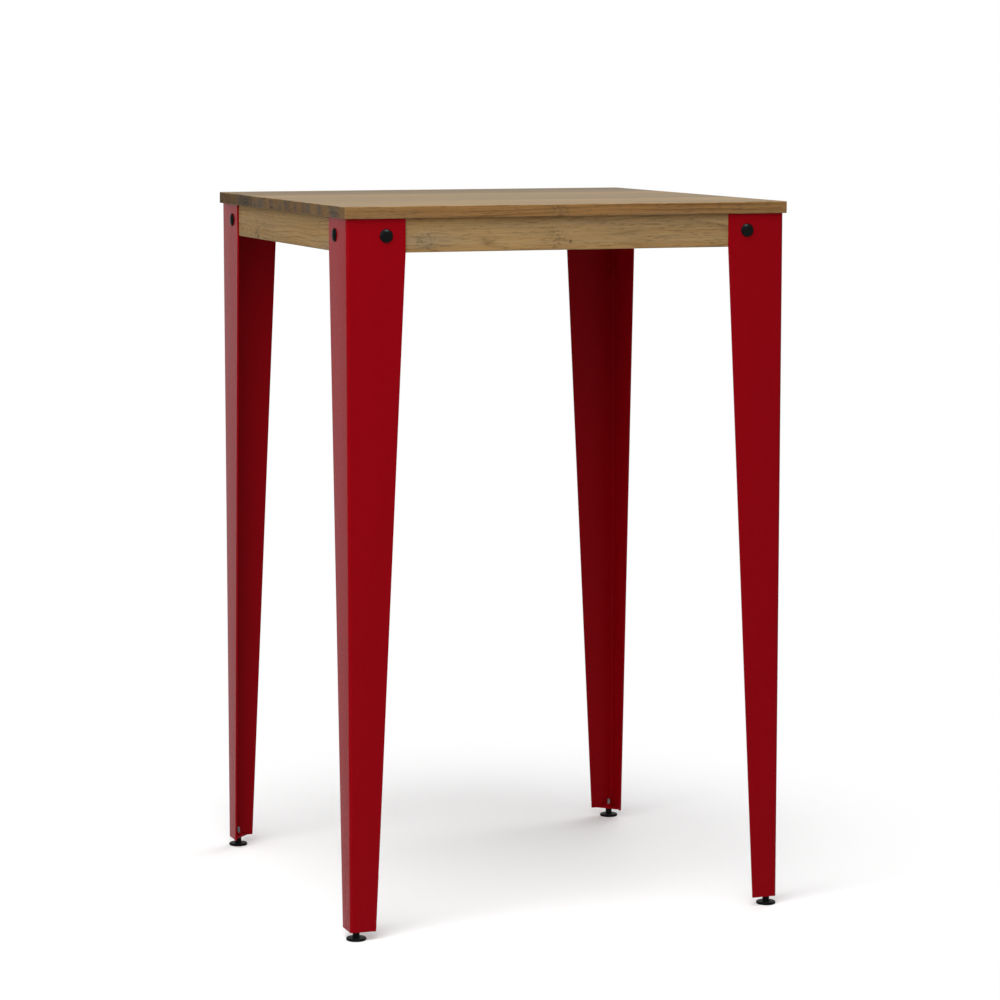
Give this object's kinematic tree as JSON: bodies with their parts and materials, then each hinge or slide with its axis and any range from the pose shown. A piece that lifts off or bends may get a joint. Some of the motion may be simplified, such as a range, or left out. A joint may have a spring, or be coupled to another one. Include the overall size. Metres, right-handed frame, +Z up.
{
  "type": "standing desk",
  "caption": "Square bar-height standing desk: edge-glued pine worktop on pine rails, tapered folded steel legs bolted over the corners, screw-in levelling feet.",
  "frame": {"origin": "on the floor under the middle of the worktop", "axes": "+Z up, -Y to the front, +X along the front edge to the right"},
  "size_m": [0.7, 0.7, 1.09],
  "materials": {
    "pine_top": "oiled, satin",
    "pine_rails": "oiled, satin",
    "red_powder_coat": "satin powder coat",
    "black_steel": "satin black",
    "zinc_steel": "zinc plated",
    "black_plastic": "moulded"
  },
  "bodies": {
    "frame": {"top_board_1": "pine_top", "top_board_2": "pine_top", "top_board_3": "pine_top", "top_board_4": "pine_top", "top_board_5": "pine_top", "top_board_6": "pine_top", "top_board_7": "pine_top", "rail_front": "pine_rails", "rail_back": "pine_rails", "rail_left": "pine_rails", "rail_right": "pine_rails", "leg_front_left": "red_powder_coat", "leg_front_right": "red_powder_coat", "leg_back_right": "red_powder_coat", "leg_back_left": "red_powder_coat", "foot_plate_front_left": "red_powder_coat", "foot_plate_front_right": "red_powder_coat", "foot_plate_back_right": "red_powder_coat", "foot_plate_back_left": "red_powder_coat", "foot_weld_nut_front_left": "red_powder_coat", "foot_weld_nut_front_right": "red_powder_coat", "foot_weld_nut_back_right": "red_powder_coat", "foot_weld_nut_back_left": "red_powder_coat", "leg_bolts": "black_steel", "leg_bolt_washers": "zinc_steel", "leg_bolt_nuts": "zinc_steel", "rail_corner_screws": "zinc_steel", "top_screws": "zinc_steel"},
    "stud_front_left": {"foot_stud_front_left": "zinc_steel"},
    "base_front_left": {"foot_base_front_left": "black_plastic"},
    "stud_front_right": {"foot_stud_front_right": "zinc_steel"},
    "base_front_right": {"foot_base_front_right": "black_plastic"},
    "stud_back_right": {"foot_stud_back_right": "zinc_steel"},
    "base_back_right": {"foot_base_back_right": "black_plastic"},
    "stud_back_left": {"foot_stud_back_left": "zinc_steel"},
    "base_back_left": {"foot_base_back_left": "black_plastic"}
  },
  "joints": [
    {"name": "foot_front_left_height", "type": "slide", "parent": "frame", "child": "stud_front_left", "axis": [0, 0, -1], "range_m": [0, 0.008]},
    {"name": "foot_front_left_turn", "type": "hinge", "parent": "stud_front_left", "child": "base_front_left", "pos_m": [-0.3335, -0.3335, 0], "axis": [0, 0, -1], "range_deg": [0, 2881]},
    {"name": "foot_front_right_height", "type": "slide", "parent": "frame", "child": "stud_front_right", "axis": [0, 0, -1], "range_m": [0, 0.008]},
    {"name": "foot_front_right_turn", "type": "hinge", "parent": "stud_front_right", "child": "base_front_right", "pos_m": [0.3335, -0.3335, 0], "axis": [0, 0, -1], "range_deg": [0, 2881]},
    {"name": "foot_back_right_height", "type": "slide", "parent": "frame", "child": "stud_back_right", "axis": [0, 0, -1], "range_m": [0, 0.008]},
    {"name": "foot_back_right_turn", "type": "hinge", "parent": "stud_back_right", "child": "base_back_right", "pos_m": [0.3335, 0.3335, 0], "axis": [0, 0, -1], "range_deg": [0, 2881]},
    {"name": "foot_back_left_height", "type": "slide", "parent": "frame", "child": "stud_back_left", "axis": [0, 0, -1], "range_m": [0, 0.008]},
    {"name": "foot_back_left_turn", "type": "hinge", "parent": "stud_back_left", "child": "base_back_left", "pos_m": [-0.3335, 0.3335, 0], "axis": [0, 0, -1], "range_deg": [0, 2881]}
  ],
  "couplings": [
    {"joint": "foot_front_left_turn", "follows": "foot_front_left_height", "rad_per_m": 6283.2},
    {"joint": "foot_front_right_turn", "follows": "foot_front_right_height", "rad_per_m": 6283.2},
    {"joint": "foot_back_right_turn", "follows": "foot_back_right_height", "rad_per_m": 6283.2},
    {"joint": "foot_back_left_turn", "follows": "foot_back_left_height", "rad_per_m": 6283.2}
  ]
}
